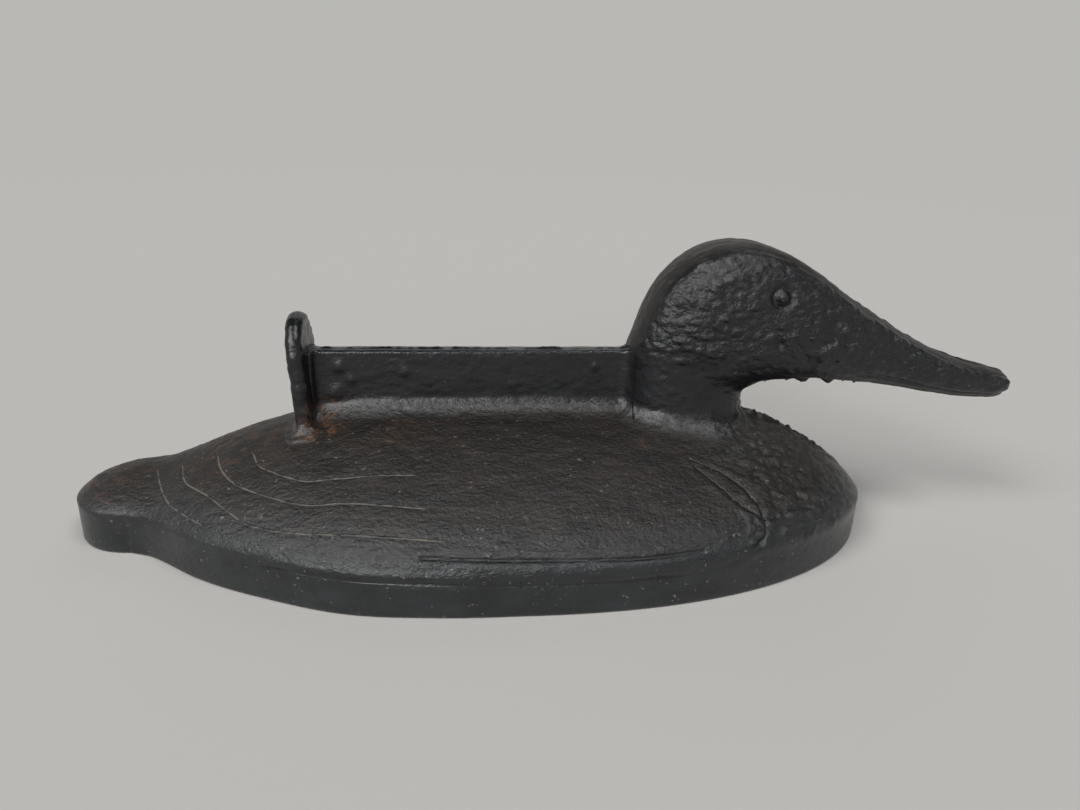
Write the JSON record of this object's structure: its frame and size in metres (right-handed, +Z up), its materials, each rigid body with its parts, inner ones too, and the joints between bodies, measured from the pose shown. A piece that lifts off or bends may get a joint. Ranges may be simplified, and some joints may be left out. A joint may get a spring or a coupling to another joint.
{
  "type": "duck boot scraper",
  "caption": "Duck-shaped iron boot scraper: hollow decoy body with an upright scraper blade held between a round-topped end post and the neck.",
  "frame": {"origin": "under the middle of the whole length and width, on the plane that the base rim stands on", "axes": "+X from the tail to the bill, +Y across to the duck's left, +Z up"},
  "size_m": [0.368, 0.138, 0.115],
  "materials": {
    "body_iron": "satin",
    "upper_iron": "satin"
  },
  "bodies": {
    "root": {"body_shell": "body_iron", "head_and_neck": "upper_iron", "scraper_blade": "upper_iron", "end_post": "upper_iron"}
  },
  "joints": []
}
